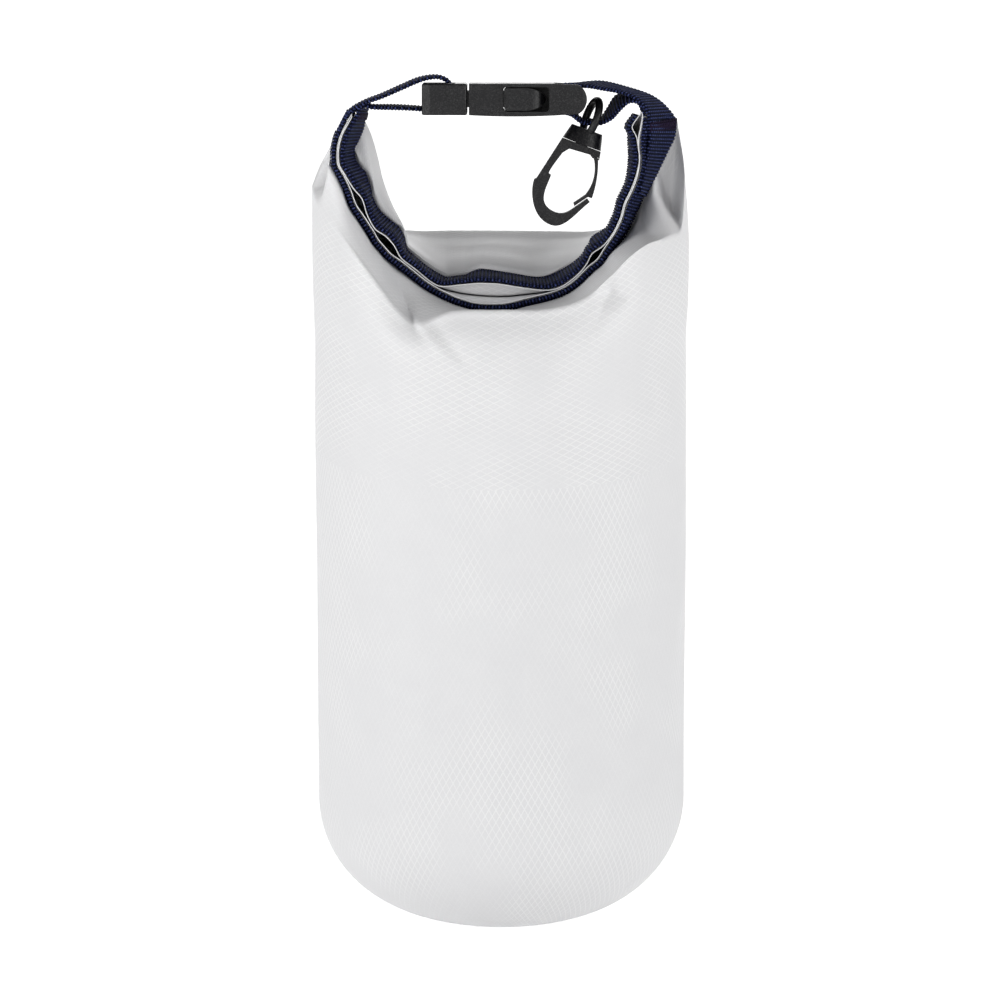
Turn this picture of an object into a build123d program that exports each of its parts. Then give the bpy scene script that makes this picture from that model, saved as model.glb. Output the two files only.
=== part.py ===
from build123d import *
import os
from math import asin, cos, hypot, pi, radians, sin

# A small roll-top dry bag. The fabric tube stands on its round base, its collar is folded
# forward, and the flat mouth is curled into a U whose two ends are joined by a side-release
# buckle. Millimetres; +Z is up, -Y is the front, the origin is the middle of the base.

# --- fabric tube ---------------------------------------------------------------------------
bag_diameter = 126.0
fabric = 0.8                    # coated fabric with its weld laps
base_edge_radius = 38.0         # how round the filled bag stands at its base
base_seam_inset = 15.0          # the base panel's seam is this far inside the tube
body_height = 163.0             # ring seam between body and collar panel
shoulder_rise = 34.0            # the collar is round up to this height above its seam
seam_tape_width = 12.0
upright_tape_width = 8.5
upright_seam_place = -7.6       # the collar's own seam stands left of the middle, in front
seam_tape = 0.5                 # thickness of the sealing tape
seat = 0.05                     # gap between pieces that are welded or sewn together
tape_seat = 0.15                # the same behind the inner webbing, which is a twisted band

# --- folded collar -------------------------------------------------------------------------
front_fold_reach = 48.5         # distance of the front fold from the bag's axis
front_fold_rise = 53.5          # heights above the ring seam
back_fold_reach = 47.0
back_fold_rise = 62.5
front_fold_power = 3.0          # how sharply the folds rise towards the side creases
back_fold_power = 5.0
recess_share = 0.55             # where the recess stands between the folds and the mouth
crease_rise = 80.0              # of the side creases, where the collar turns
shoulder_turn = 15.0            # height over which the tube starts to turn
shoulder_ease = 0.55            # the tube draws in by this where the collar starts to turn
side_tuck = 2.1                 # how far the side creases stand inside the tube
recess_gap = 4.0                # free space under the outer mouth webbing
recess_back = -2.0              # from the middle of the webbing to the middle of the recess
mouth_end_turn = 0.22           # where the inner skin starts at the mouth's ends, in radians
throat_shift = 1.1              # and behind the hem, in millimetres

# --- mouth strip ---------------------------------------------------------------------------
mouth_lean = 10.5               # the U leans back by this angle
mouth_side = -3.0               # middle of the U, from the bag's axis
mouth_forward = -11.0
mouth_rise = 55.4               # lowest point of the U's fabric above the ring seam
curl_inset = 11.5               # outer fabric face of the U, from the tube's radius
mouth_gather = 7.9              # the mouth is shorter than the flat tube is wide
mouth_opening = 7.8             # over both fabric layers, at the lowest point of the U
throat_opening = 12.3           # the same, behind the straight part
hem_depth = 25.0                # straight part of the mouth, behind the lip
webbing_width = 20.0
webbing = 1.5
stiffener_width = 16.0
stiffener = 0.6
tape_overrun = 6.0              # webbing past the fabric at each end
bartack_length = 8.0
bartack = 0.5

# --- strap loops ---------------------------------------------------------------------------
strap_gap = 0.12                # between a strap and the bar that it runs round
tip_radius = 1.6                # where the two strands of a loop meet
tip_lift = 2.4                  # tip of each loop past the end of the mouth
strap_neck = 5.6                # the webbing is gathered where it runs through the eye
strap_waist = 6.8               # depth of that gathering, seen from above
strap_waist_length = 20.0
strap_waist_shift = 2.0         # its middle, from the eye towards the end of the mouth
dip_radius = 3.0

# --- buckle --------------------------------------------------------------------------------
buckle_axis_height = 14.3       # above the centre of the U, in its leaning plane
buckle_thickness = 10.4
buckle_width = 28.0
buckle_wall = 1.2               # top and bottom wall of the female half
buckle_side_wall = 2.0
male_length = 15.0              # of its moulded body, without the prongs
female_length = 39.0
parting_gap = 0.6               # between the two halves
tail_to_eye = 1.6               # the female half ends this far left of the middle of the eye
rail = 2.8                      # side rails of both strap slots
tail_taper = 0.7                # the female half's tail is narrower by this at each side
bar_radius = 3.3
bar_inset = 5.2                 # from the end of each half to the middle of its bar
slot_margin = 0.6
window_inset = 11.4             # from the female half's face to its side windows
window_length = 15.1
window_height = 8.2
centre_wall = 3.0               # wall between the two prongs, inside the female half
window_ridge = 0.4
prong_height = 7.4
arm_height = 5.2
arm_width = 2.4
arm_inset = 1.8                 # prong root, from the inner face of the female half's side
prong_socket_gap = 0.1
head_corner = 1.2               # rounded corners of window and press button
latch_depth = 1.9               # how far the shoulder stands out past the passage
latch_gap = 0.2
nose_gap = 1.0
guide_width = 6.0
guide_thickness = 4.4
guide_length = 13.0

# --- snap hook -----------------------------------------------------------------------------
hook_tilt = 20.3                # the hook hangs aslant
eye_inset = 18.5                # middle of the eye, from the fabric of the U
eye_rise = 7.8                  # and above the centre of the U
eye_radius = 6.2                # middle of the ring's stock
eye_stock = 1.3
eye_turn = 15.0                 # the ring faces a little to the front
barrel_top_radius = 5.4
barrel_radius = 6.8
barrel_start = 3.9              # barrel below the middle of the eye
barrel_height = 5.2
stem_radius = 2.2
stem_length = 1.6
running_gap = 0.1
swivel_gap = 0.25
hook_thickness = 5.6
hook_width = 21.0
hook_length = 28.35             # from the swivel face to the lowest point
hook_stock = 5.0
hook_back = ((-7.7, 3.8), (-3.6, 0.5), (1.0, 0.1), (6.0, 5.6))    # above the lowest point
grip_notch = (0.3, 12.6)        # step in the hook's flank: its half depth and its height
gate_gap = 0.35
gate_thickness = 1.5
gate_width = 4.6
gate_pivot = (6.2, 2.85)        # right of the hook's axis, and below the swivel face
nose_reach = (3.0, -14.0)       # tip of the hook's nose, from the gate's pivot
nose_bevel = (-1.2, 0.8)        # from that tip to the top of the catch
catch_run = (-3.8, -5.3)        # slanted catch that the gate's tongue rests on
tongue_length = 5.0

# --- values that follow --------------------------------------------------------------------
bag_radius = bag_diameter / 2
base_disc_radius = bag_radius - base_seam_inset
shoulder_height = body_height + shoulder_rise
front_fold_height = body_height + front_fold_rise
back_fold_height = body_height + back_fold_rise
crease_height = body_height + crease_rise
curl_radius = bag_radius - curl_inset
mouth_length = pi * bag_radius - mouth_gather
half_web = webbing_width / 2
base_flat_radius = bag_radius - base_edge_radius
base_seam_angle = asin((base_disc_radius - base_flat_radius) / base_edge_radius)
end_angle = (mouth_length / curl_radius - pi) / 2      # ends of the mouth above the horizontal
outer_tape_radius = curl_radius + stiffener + 2 * seat
tape_angle = end_angle + tape_overrun / curl_radius
recess_radius = outer_tape_radius + webbing + recess_gap
tube_end = shoulder_height - shoulder_turn

lean = radians(mouth_lean)
mouth_height = body_height + mouth_rise + curl_radius * cos(lean)
mouth_centre = (mouth_side, mouth_forward, mouth_height)
mouth_plane = Plane(mouth_centre, x_dir=(1, 0, 0), z_dir=(0, -cos(lean), sin(lean)))
buckle_centre = mouth_plane.from_local_coords((0, buckle_axis_height, 0))
buckle_plane = Plane(buckle_centre, x_dir=(1, 0, 0), z_dir=mouth_plane.z_dir)
buckle_plan = Plane(buckle_centre, x_dir=(1, 0, 0), z_dir=mouth_plane.y_dir)
passage_half_width = buckle_width / 2 - buckle_side_wall
arm_offset = passage_half_width - arm_inset
eye_across = curl_radius - eye_inset
female_end = eye_across - tail_to_eye
female_face = female_end - female_length
male_face = female_face - parting_gap
male_end = male_face - male_length
window_start = female_face + window_inset
male_bar = male_end + bar_inset
female_bar = female_end - bar_inset
strap_turn_radius = bar_radius + strap_gap + webbing
slot_half_width = half_web + slot_margin

tilt = radians(hook_tilt)
hook_right = mouth_plane.x_dir * cos(tilt) - mouth_plane.y_dir * sin(tilt)
hook_up = mouth_plane.x_dir * sin(tilt) + mouth_plane.y_dir * cos(tilt)
eye_centre = mouth_plane.from_local_coords((eye_across, eye_rise, 0))
eye_plane = Plane(eye_centre, x_dir=hook_right, z_dir=mouth_plane.z_dir)
eye_axis = Axis(eye_centre, hook_up)
swivel_level = -barrel_start - barrel_height - swivel_gap
gate_centre = (gate_pivot[0], swivel_level - gate_pivot[1])


# --- fabric --------------------------------------------------------------------------------
def ring_wire(height, inset):
    """The round tube at one height, as a front half and a back half."""
    radius = bag_radius - inset - (shoulder_ease if height > tube_end else 0)
    front = ThreePointArc((-radius, 0, height), (0, -radius, height), (radius, 0, height))
    back = ThreePointArc((radius, 0, height), (0, radius, height), (-radius, 0, height))
    return Wire([front.edge(), back.edge()])


def saddle_point(angle, inset):
    """Where the collar turns: low along the front and back folds, high at the side creases."""
    in_front = sin(angle) < 0
    reach = (front_fold_reach if in_front else back_fold_reach) - inset
    fold = (front_fold_height if in_front else back_fold_height) - inset
    side = abs(cos(angle)) ** (front_fold_power if in_front else back_fold_power)
    return Vector(
        (bag_radius - side_tuck - inset) * cos(angle),
        reach * sin(angle) - 2 * side_tuck * cos(angle) ** 2,
        fold + (crease_height - inset - fold) * side,
    )


def saddle_wire(inset):
    front = Spline(*[saddle_point(pi + step * pi / 6, inset) for step in range(7)])
    back = Spline(*[saddle_point(step * pi / 6, inset) for step in range(7)])
    return Wire([front.edge(), back.edge()])


def recess_wire(inset, throat):
    """The front layer tucked under the mouth webbing, and the back layer behind the mouth."""
    behind = throat.edges()[1]

    def on_back(step):
        fold = saddle_point(step * pi / 6, inset)
        return fold + (behind @ (step / 6) - fold) * recess_share

    right, left = on_back(0), on_back(6)
    level = recess_back - inset / 2
    lowest = mouth_plane.from_local_coords((0, -recess_radius - inset, level))
    front = ThreePointArc(left, lowest, right)
    back = Spline(*[on_back(step) for step in range(7)])
    return Wire([front.edge(), back.edge()])


def mouth_wire(plane, opening, inset):
    """The curled flat mouth: two arcs that meet at its ends."""
    radius = curl_radius - inset
    end = end_angle - inset * mouth_end_turn / fabric

    def on_arc(angle, arc_radius):
        return plane.from_local_coords((arc_radius * cos(angle), arc_radius * sin(angle), 0))

    left, right = on_arc(pi - end, radius), on_arc(end, radius)
    upper_radius = radius - opening + 2 * inset
    front = ThreePointArc(left, on_arc(1.5 * pi, radius), right)
    back = ThreePointArc(right, on_arc(1.5 * pi, upper_radius), left)
    return Wire([front.edge(), back.edge()])


def collar_skin(inset):
    """One side of the collar's fabric from the ring seam to the lip, and its two end rims."""
    throat_level = half_web - hem_depth - inset * throat_shift / fabric
    low = ring_wire(body_height, inset)
    spread = (throat_opening - mouth_opening) * (half_web - throat_level) / hem_depth
    throat = mouth_wire(mouth_plane.offset(throat_level), mouth_opening + spread, inset)
    lip = mouth_wire(mouth_plane.offset(half_web), mouth_opening, inset)
    turn = Solid.make_loft(
        [
            ring_wire(tube_end, inset),
            ring_wire(shoulder_height, inset),
            saddle_wire(inset),
            recess_wire(inset, throat),
            throat,
        ]
    )
    folded = [face for face in turn.faces() if face.geom_type != GeomType.PLANE]
    tube = [Face.extrude(edge, Vector(0, 0, tube_end - body_height)) for edge in low.edges()]
    pairs = zip(throat.edges(), lip.edges())
    hem = [Face.make_surface_from_curves(edge, rim) for edge, rim in pairs]
    return folded + tube + hem, low, lip


def edge_point(angle, inset):
    """A point of the rounded base edge, this far inside its outer face."""
    radius = base_edge_radius - inset
    return (base_flat_radius + radius * sin(angle), base_edge_radius - radius * cos(angle))


def edge_band(start, end, inset, thickness):
    """Section of a band that follows the rounded base edge from one angle to another."""
    middle = (start + end) / 2
    with BuildSketch() as band:
        with BuildLine():
            outside = ThreePointArc(*[edge_point(a, inset) for a in (start, middle, end)])
            inner = inset + thickness
            inside = ThreePointArc(*[edge_point(a, inner) for a in (end, middle, start)])
            Line(outside @ 1, inside @ 0)
            Line(inside @ 1, outside @ 0)
        make_face()
    return band.sketch


def sleeve(outer, thickness):
    """Section of a thin round sleeve about the bag's axis."""
    with BuildSketch() as section:
        Circle(outer)
        Circle(outer - thickness, mode=Mode.SUBTRACT)
    return section.sketch


def upright_strip(middle, side):
    """Section of a sealing tape behind an upright seam, on the front (-1) or the back (1)."""
    with BuildSketch() as section:
        add(sleeve(bag_radius - fabric - seat, seam_tape))
        with Locations((middle, side * bag_radius)):
            Rectangle(upright_tape_width, 2 * bag_radius, mode=Mode.INTERSECT)
    return section.sketch


with BuildPart() as base_disc:
    with BuildSketch(Plane.XZ):
        add(edge_band(0, base_seam_angle, 0, fabric))
        with Locations((base_flat_radius / 2, fabric / 2)):
            Rectangle(base_flat_radius, fabric)
    revolve(axis=Axis.Z)

with BuildPart() as body_panel:
    with BuildSketch(Plane.XZ):
        add(edge_band(base_seam_angle + seat / base_edge_radius, pi / 2, 0, fabric))
        straight = body_height - seat - base_edge_radius
        with Locations((bag_radius - fabric / 2, base_edge_radius + straight / 2)):
            Rectangle(fabric, straight)
    revolve(axis=Axis.Z)

with BuildPart() as base_seam_tape:
    half_tape = seam_tape_width / 2 / base_edge_radius
    with BuildSketch(Plane.XZ):
        start, end = base_seam_angle - half_tape, base_seam_angle + half_tape
        add(edge_band(start, end, fabric + seat, seam_tape))
    revolve(axis=Axis.Z)

with BuildPart() as collar_seam_tape:
    with BuildSketch(Plane.XY.offset(body_height - seam_tape_width / 2)):
        add(sleeve(bag_radius - fabric - seat, seam_tape))
    extrude(amount=seam_tape_width)

with BuildPart() as body_upright_tape:
    with BuildSketch(Plane.XY.offset(base_edge_radius)):
        add(upright_strip(0, 1))
    extrude(amount=straight - seam_tape_width / 2 - seat)

with BuildPart() as collar_upright_tape:
    start = body_height + seam_tape_width / 2 + seat
    with BuildSketch(Plane.XY.offset(start)):
        add(upright_strip(upright_seam_place, -1))
    extrude(amount=tube_end - start)

# the collar is one sheet: its outer and inner skins are joined along the ring seam and the lip
outer_skin, outer_low, outer_lip = collar_skin(0)
inner_skin, inner_low, inner_lip = collar_skin(fabric)
collar_rims = [Face(outer_low, [inner_low]), Face(outer_lip, [inner_lip])]
with BuildPart() as collar_panel:
    add(Solid(Shell(outer_skin + inner_skin + collar_rims)))


# --- mouth strip ---------------------------------------------------------------------------
def curled_strip(inner_radius, thickness, start, end, middle_height=0.0):
    """Edge view of a strip curled about the U, from one angle anticlockwise to another."""
    outer_radius = inner_radius + thickness
    angles = (start, (start + end) / 2, end)

    def arc(radius, turns):
        points = [(radius * cos(a), middle_height + radius * sin(a)) for a in turns]
        return ThreePointArc(*points)

    with BuildSketch() as strip:
        with BuildLine():
            outside = arc(outer_radius, angles)
            inside = arc(inner_radius, angles[::-1])
            Line(outside @ 1, inside @ 0)
            Line(inside @ 1, outside @ 0)
        make_face()
    return strip.sketch


with BuildPart() as mouth_stiffener:
    with BuildSketch(mouth_plane.offset(-stiffener_width / 2)):
        add(curled_strip(curl_radius + seat, stiffener, pi - end_angle, 2 * pi + end_angle))
    extrude(amount=stiffener_width)

with BuildPart() as mouth_tape_outer:
    with BuildSketch(mouth_plane.offset(-half_web)):
        add(curled_strip(outer_tape_radius, webbing, pi - tape_angle, 2 * pi + tape_angle))
    extrude(amount=webbing_width)

# the inner webbing follows the back layer, whose arc is shallower and widens to the throat
with BuildPart() as mouth_tape_inner:
    for level in (-half_web, half_web):
        spread = (half_web - level) / hem_depth
        opening = mouth_opening + (throat_opening - mouth_opening) * spread
        reach = curl_radius - opening
        end_height = curl_radius * sin(end_angle)
        centre = (curl_radius**2 - reach**2) / 2 / (reach + end_height)
        face = reach + centre - webbing - tape_seat
        end = asin((end_height - centre) / (reach + centre))
        with BuildSketch(mouth_plane.offset(level)):
            add(curled_strip(face, webbing, pi - end, 2 * pi + end, middle_height=centre))
    loft()

bartack_radius = outer_tape_radius + webbing + seat
bartack_turn = bartack_length / bartack_radius
with BuildPart() as bartack_right:
    with BuildSketch(mouth_plane.offset(-half_web)):
        add(curled_strip(bartack_radius, bartack, tape_angle - bartack_turn, tape_angle))
    extrude(amount=webbing_width)

with BuildPart() as bartack_left:
    with BuildSketch(mouth_plane.offset(-half_web)):
        start = pi - tape_angle
        add(curled_strip(bartack_radius, bartack, start, start + bartack_turn))
    extrude(amount=webbing_width)


# --- strap loops ---------------------------------------------------------------------------
def strap_loop(turns):
    """Edge view of a webbing loop drawn tight round circles, each (across, up, radius)."""
    with BuildSketch() as loop:
        for thickness, mode in ((0, Mode.ADD), (webbing, Mode.SUBTRACT)):
            with BuildSketch(mode=Mode.PRIVATE) as outline:
                for across, up, radius in turns:
                    with Locations((across, up)):
                        Circle(radius - thickness)
                make_hull()
            add(outline.sketch, mode=mode)
    return loop.sketch


loop_tip_radius = outer_tape_radius - seat - tip_radius
tip_angle = end_angle + tip_lift / loop_tip_radius
tip_across, tip_up = loop_tip_radius * cos(tip_angle), loop_tip_radius * sin(tip_angle)
dip_up = eye_rise - webbing / 2 + dip_radius

with BuildPart() as male_loop_strap:
    with BuildSketch(mouth_plane.offset(-half_web)):
        bar_turn = (male_bar, buckle_axis_height, strap_turn_radius)
        add(strap_loop([bar_turn, (-tip_across, tip_up, tip_radius)]))
    extrude(amount=webbing_width)

with BuildPart() as female_loop_strap:
    with BuildSketch(mouth_plane.offset(-half_web)):
        bar_turn = (female_bar, buckle_axis_height, strap_turn_radius)
        dip_turn = (eye_across, dip_up, dip_radius)
        add(strap_loop([bar_turn, dip_turn, (tip_across, tip_up, tip_radius)]))
    extrude(amount=webbing_width)
    waist_plane = Plane(eye_centre, x_dir=mouth_plane.x_dir, z_dir=mouth_plane.y_dir)
    with BuildSketch(waist_plane.offset(-dip_radius)):
        waist_place = strap_neck / 2 + strap_waist
        with Locations((strap_waist_shift, waist_place), (strap_waist_shift, -waist_place)):
            Ellipse(strap_waist_length / 2, strap_waist)
    extrude(amount=3 * dip_radius, mode=Mode.SUBTRACT)


# --- buckle --------------------------------------------------------------------------------
half_thickness = buckle_thickness / 2
half_width = buckle_width / 2

with BuildPart() as buckle_male:
    with BuildSketch(buckle_plan.offset(-half_thickness)) as male_plan:
        with BuildLine():
            Polyline(
                (male_face, half_width),
                (male_end + rail, half_width - tail_taper / 2),
                (male_end, half_width - rail / 2),
                (male_end, -half_width + rail / 2),
                (male_end + rail, -half_width + tail_taper / 2),
                (male_face, -half_width),
                close=True,
            )
        make_face()
    extrude(amount=buckle_thickness)
    fillet(buckle_male.edges().filter_by(Axis(buckle_centre, mouth_plane.y_dir)), 1.0)
    with BuildSketch(buckle_plan.offset(-buckle_thickness)):
        slot_end = male_bar + strap_turn_radius + slot_margin
        with Locations(((male_end - rail + slot_end) / 2, 0)):
            Rectangle(slot_end - male_end + rail, 2 * slot_half_width)
    extrude(amount=2 * buckle_thickness, mode=Mode.SUBTRACT)
    fillet(buckle_male.faces().sort_by(Axis(buckle_centre, mouth_plane.y_dir))[-1].edges(), 0.6)
    fillet(buckle_male.faces().sort_by(Axis(buckle_centre, mouth_plane.y_dir))[0].edges(), 0.6)
    bar_end = (half_width + slot_half_width) / 2
    with BuildSketch(buckle_plane.offset(-bar_end)):
        with Locations((male_bar, 0)):
            Circle(bar_radius)
    extrude(amount=2 * bar_end)
    with BuildSketch(buckle_plan.offset(-guide_thickness / 2)):
        with Locations((male_face + guide_length / 2 - 1, 0)):
            Rectangle(guide_length + 2, guide_width)
    extrude(amount=guide_thickness)
    socket_height = arm_height + 2 * latch_gap
    with BuildSketch(buckle_plan.offset(-socket_height / 2)):
        with Locations((male_face, arm_offset), (male_face, -arm_offset)):
            Circle(arm_width / 2 + prong_socket_gap)
    extrude(amount=socket_height, mode=Mode.SUBTRACT)

with BuildPart() as buckle_female:
    tail_start = female_bar - strap_turn_radius - slot_margin
    tail_half_width = half_width - tail_taper
    with BuildSketch(buckle_plan.offset(-buckle_thickness)):
        with BuildLine():
            top = Line((female_face, half_width), (tail_start - rail / 2, half_width))
            step = Line(top @ 1, (tail_start + rail / 2, tail_half_width))
            side = Line(step @ 1, (female_end - rail / 2, tail_half_width))
            corner = Line(side @ 1, (female_end, tail_half_width - rail / 2))
            Line(corner @ 1, (female_end, 0))
            mirror(about=Plane.XZ)
            Line((female_face, half_width), (female_face, -half_width))
        make_face()
    extrude(amount=2 * buckle_thickness)
    with BuildSketch(buckle_plane.offset(-half_width)):
        with BuildLine():
            roof = Line((female_face, half_thickness), (tail_start, half_thickness))
            end_height = half_thickness - window_ridge
            tail = Line(roof @ 1, (female_end - rail, end_height))
            nose = ThreePointArc(tail @ 1, (female_end, 0), (female_end - rail, -end_height))
            belly_low = (window_start + window_length / 2, -half_thickness - window_ridge)
            belly = ThreePointArc(nose @ 1, belly_low, (female_face, -half_thickness))
            Line(belly @ 1, roof @ 0)
        make_face()
    extrude(amount=buckle_width, mode=Mode.INTERSECT)
    window_end = window_start + window_length
    cavity_end = tail_start - buckle_wall
    cavity_height = buckle_thickness - 2 * buckle_wall
    with BuildSketch(buckle_plane.offset(-passage_half_width)):
        with Locations(((female_face - 1 + cavity_end) / 2, 0)):
            Rectangle(cavity_end - female_face + 1, cavity_height)
    extrude(amount=2 * passage_half_width, mode=Mode.SUBTRACT)
    for side in (-1, 1):
        with BuildSketch(buckle_plane.offset(side * buckle_width)):
            with Locations((window_start + window_length / 2, 0)):
                RectangleRounded(window_length, window_height, head_corner)
        extrude(amount=side * (passage_half_width - buckle_width), mode=Mode.SUBTRACT)
    with BuildSketch(buckle_plan.offset(-cavity_height / 2)):
        wall_start = male_face + guide_length + nose_gap
        with Locations(((wall_start + cavity_end) / 2, 0)):
            Rectangle(cavity_end - wall_start, centre_wall)
    extrude(amount=cavity_height)
    with BuildSketch(buckle_plan.offset(-buckle_thickness)):
        with Locations(((tail_start + female_end + rail) / 2, 0)):
            Rectangle(female_end + rail - tail_start, 2 * slot_half_width)
    extrude(amount=2 * buckle_thickness, mode=Mode.SUBTRACT)
    bar_end = (tail_half_width + slot_half_width) / 2
    with BuildSketch(buckle_plane.offset(-bar_end)):
        with Locations((female_bar, 0)):
            Circle(bar_radius)
    extrude(amount=2 * bar_end)
    # a raised rib beside each window
    for side in (-1, 1):
        with BuildSketch(buckle_plane.offset(side * half_width)):
            with Locations((window_start - 2 * window_ridge, 0)):
                SlotOverall(window_height + window_ridge, 2 * window_ridge, rotation=90)
        extrude(amount=side * window_ridge)


def prong_plan(side):
    """A prong seen from above: a long arm, a square shoulder and a tapering nose."""
    shoulder = window_start + latch_gap
    face = passage_half_width + latch_depth
    nose = window_start + window_length - nose_gap
    inner = arm_offset - arm_width / 2
    flat_end = shoulder + window_length / 2
    with BuildSketch() as plan:
        with Locations((male_face, side * arm_offset)):
            Circle(arm_width / 2)
        with BuildLine():
            back = Line((male_face, side * inner), (nose - arm_width, side * (inner - 1)))
            tip = Line(back @ 1, (nose, side * inner))
            bend = (flat_end + 0.6 * (nose - flat_end), side * (face - 1.1))
            cheek = ThreePointArc(tip @ 1, bend, (flat_end, side * face))
            top = Line(cheek @ 1, (shoulder, side * face))
            catch = Line(top @ 1, (shoulder, side * (inner + arm_width)))
            arm = Line(catch @ 1, (male_face, side * (inner + arm_width)))
            Line(arm @ 1, back @ 0)
        make_face()
    return plan.sketch


def prong_side():
    """A prong seen from the side: a low arm and a bullet-shaped press button."""
    shoulder = window_start + latch_gap
    nose = window_start + window_length - nose_gap
    half = prong_height / 2
    with BuildSketch() as profile:
        with Locations(((male_face - arm_width + shoulder) / 2, 0)):
            Rectangle(shoulder - male_face + arm_width + 1, arm_height)
        with BuildLine():
            flat_end = shoulder + window_length / 2
            turn = shoulder + head_corner
            straight = half - head_corner
            upper = Line((turn, half), (flat_end, half))
            bullet = Spline(upper @ 1, (nose, 0), (flat_end, -half),
                            tangents=[(1, 0), (-1, 0)], tangent_scalars=[1, 1])
            Line(bullet @ 1, (turn, -half))
            CenterArc((turn, -straight), head_corner, 180, 90)
            Line((shoulder, -straight), (shoulder, straight))
            CenterArc((turn, straight), head_corner, 90, 90)
        make_face()
    return profile.sketch


def prong(side):
    """The front (-1) or rear (1) prong, where its plan and its side view meet."""
    with BuildPart() as arm:
        with BuildSketch(buckle_plan.offset(-half_thickness)):
            add(prong_plan(side))
        extrude(amount=buckle_thickness)
        with BuildSketch(buckle_plane.offset(-half_width)):
            add(prong_side())
        extrude(amount=buckle_width, mode=Mode.INTERSECT)
    return arm


prong_front = prong(-1)
prong_rear = prong(1)


# --- snap hook -----------------------------------------------------------------------------
turn = radians(eye_turn)
ring_axis = mouth_plane.z_dir * cos(turn) + hook_right * sin(turn)
ring_normal = hook_up.cross(ring_axis)
barrel_end = -barrel_start - barrel_height

with BuildPart() as swivel_eye:
    with BuildSketch(eye_plane):
        with BuildLine():
            Polyline(
                (0, -barrel_start),
                (barrel_top_radius, -barrel_start),
                (barrel_radius, barrel_end),
                (stem_radius, barrel_end),
                (stem_radius, barrel_end - stem_length),
                (0, barrel_end - stem_length),
                close=True,
            )
        make_face()
    revolve(axis=eye_axis)
    with BuildSketch(Plane(eye_centre, x_dir=hook_up, z_dir=ring_axis)):
        with Locations((eye_radius, 0)):
            Circle(eye_stock)
    revolve(axis=Axis(eye_centre, ring_normal))

with BuildPart() as hook_body:
    with BuildSketch(eye_plane.offset(-hook_thickness / 2)):
        half_hook = hook_width / 2
        low = swivel_level - hook_length
        gate_x, gate_y = gate_centre
        nose_tip = (gate_x + nose_reach[0], gate_y + nose_reach[1])
        nose_top = (nose_tip[0] + nose_bevel[0], nose_tip[1] + nose_bevel[1])
        nose_root = (nose_top[0] + catch_run[0], nose_top[1] + catch_run[1])
        with BuildLine():
            step, notch_height = grip_notch
            upper = (step - half_hook, low + notch_height + step)
            flank = Line((-barrel_radius, swivel_level), upper)
            notch = Line(flank @ 1, (-half_hook - step, low + notch_height - step))
            back = [(across, low + height) for across, height in hook_back]
            Spline(notch @ 1, *back, nose_tip)
            Line(nose_tip, nose_top)
            catch = Line(nose_top, nose_root)
            inside = Spline(
                nose_root,
                (-0.2, low + hook_stock - 0.6),
                (-5.2, low + 6.6),
                (hook_stock - half_hook - 0.6, (swivel_level + low) / 2 + 1.3),
                (-5.0, swivel_level - 4.6),
                tangents=[catch_run, (1.2, 3.8)],
            )
            arch = Line(inside @ 1, (-3.4, swivel_level - 2.6))
            web = Line(arch @ 1, (gate_x - 2.4, swivel_level - 2.1))
            ear = Line(web @ 1, (gate_x - 1.4, gate_y))
            heel = Line(ear @ 1, (gate_x + 1.1, gate_y))
            shoulder_line = Line(heel @ 1, (barrel_radius, swivel_level))
            Line(shoulder_line @ 1, flank @ 0)
        make_face()
    extrude(amount=hook_thickness)
    with BuildSketch(Plane(eye_centre, x_dir=hook_right, z_dir=hook_up).offset(swivel_level)):
        Circle(stem_radius + running_gap)
    extrude(amount=-(stem_length - swivel_gap + running_gap), mode=Mode.SUBTRACT)
    with BuildSketch(eye_plane.offset(-hook_thickness / 2)):
        with Locations(gate_centre):
            Circle(gate_thickness / 2 + running_gap)
    extrude(amount=hook_thickness, mode=Mode.SUBTRACT)

with BuildPart() as hook_gate:
    with BuildSketch(eye_plane.offset(-gate_width / 2)):
        across = hypot(*catch_run)
        along_catch = (catch_run[0] / across, catch_run[1] / across)
        lift = (along_catch[1], -along_catch[0])

        def on_catch(distance, height):
            return (
                nose_top[0] + distance * along_catch[0] + height * lift[0],
                nose_top[1] + distance * along_catch[1] + height * lift[1],
            )

        near, far = gate_gap, gate_gap + 0.75 * gate_thickness
        heel_low, tongue_tip = on_catch(0, near), on_catch(tongue_length, near)
        tongue_top, tongue_root = on_catch(0.93 * tongue_length, far), on_catch(-0.35, far)
        half_gate = gate_thickness / 2
        with Locations(gate_centre):
            Circle(half_gate)
        with BuildLine():
            outer_side = Spline(
                (gate_x + half_gate, gate_y),
                (gate_x + nose_reach[0] - 0.1, gate_y + 0.6 * nose_reach[1]),
                (nose_tip[0] + 0.2, nose_tip[1] + 1.4),
            )
            foot = Line(outer_side @ 1, (nose_top[0] + 0.1, nose_top[1] + 0.55))
            heel = Line(foot @ 1, heel_low)
            under = Line(heel @ 1, tongue_tip)
            tip = Line(under @ 1, tongue_top)
            over = Line(tip @ 1, tongue_root)
            inner_side = Spline(
                over @ 1,
                (gate_x + nose_reach[0] - gate_thickness, gate_y + 0.6 * nose_reach[1]),
                (gate_x - half_gate, gate_y),
            )
            Line(inner_side @ 1, outer_side @ 0)
        make_face()
    extrude(amount=gate_width)

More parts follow.
